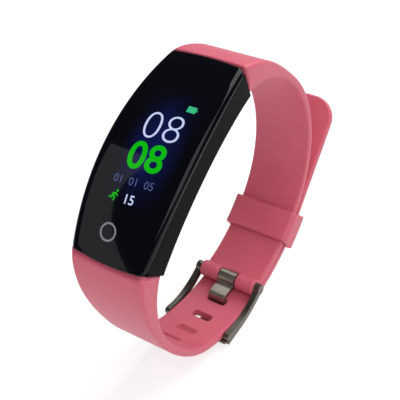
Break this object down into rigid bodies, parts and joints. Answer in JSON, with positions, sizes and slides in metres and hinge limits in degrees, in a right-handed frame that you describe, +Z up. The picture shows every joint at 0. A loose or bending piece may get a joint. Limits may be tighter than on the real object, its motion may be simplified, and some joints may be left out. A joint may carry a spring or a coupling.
{
  "type": "fitness tracker band",
  "caption": "Wrist-worn activity tracker: a curved black case with a full-face glass screen, silicone straps, a sliding keeper and a pin buckle.",
  "frame": {"origin": "on the wrist's axis, at the middle of the loop, 36 mm behind the crown of the face", "axes": "+X along the forearm, across the band; -Y is the side that the screen faces; +Z up, with the face's normal 48.8 degrees above -Y"},
  "size_m": [0.0214, 0.0832, 0.0701],
  "materials": {
    "cover_glass": "gloss, black printed back",
    "seal_foam": "matte",
    "screen": "gloss",
    "white_tray": "matte",
    "copper_foil": "satin",
    "flex_film": "satin",
    "case_plastic": "fine satin",
    "circuit_board": "satin",
    "tinned_steel": "satin",
    "chip_plastic": "matte",
    "cell_foil": "satin",
    "lamp_lens": "gloss",
    "sensor_glass": "gloss, dark tinted",
    "seal_rubber": "matte",
    "back_plastic": "satin",
    "gold_pad": "polished plating",
    "screw_steel": "satin",
    "pin_steel": "polished",
    "silicone": "satin",
    "buckle_steel": "satin brushed",
    "tongue_steel": "satin brushed"
  },
  "bodies": {
    "band": {"front_glass": "cover_glass", "glass_seal": "seal_foam", "display_panel": "screen", "backlight_tray": "white_tray", "touch_pad": "copper_foil", "display_flex": "flex_film", "case_body": "case_plastic", "main_board": "circuit_board", "shield_can": "tinned_steel", "board_chips": "chip_plastic", "vibration_motor": "tinned_steel", "battery": "cell_foil", "sensor_board": "circuit_board", "heart_sensor": "lamp_lens", "sensor_window": "sensor_glass", "back_seal": "seal_rubber", "back_cover": "back_plastic", "charge_contacts": "gold_pad", "cover_screws": "screw_steel", "upper_lug_pin": "pin_steel", "lower_lug_pin": "pin_steel", "buckle_strap": "silicone", "hole_strap": "silicone", "spring_bar_tube": "pin_steel", "spring_bar_tips": "pin_steel", "spring_bar_spring": "pin_steel"},
    "keeper": {"keeper_loop": "silicone"},
    "buckle": {"buckle_frame": "buckle_steel"},
    "tongue": {"buckle_tongue": "tongue_steel"}
  },
  "joints": [
    {"name": "keeper_slide", "type": "hinge", "parent": "band", "child": "keeper", "pos_m": [0, -0.00483, 0.01139], "axis": [1, 0, 0], "range_deg": [-17, 2]},
    {"name": "buckle_swing", "type": "hinge", "parent": "band", "child": "buckle", "pos_m": [0, 0.00658, -0.02254], "axis": [1, 0, 0], "range_deg": [0, 4]},
    {"name": "tongue_swing", "type": "hinge", "parent": "buckle", "child": "tongue", "pos_m": [0, 0.00658, -0.02254], "axis": [1, 0, 0], "range_deg": [0, 3]}
  ]
}
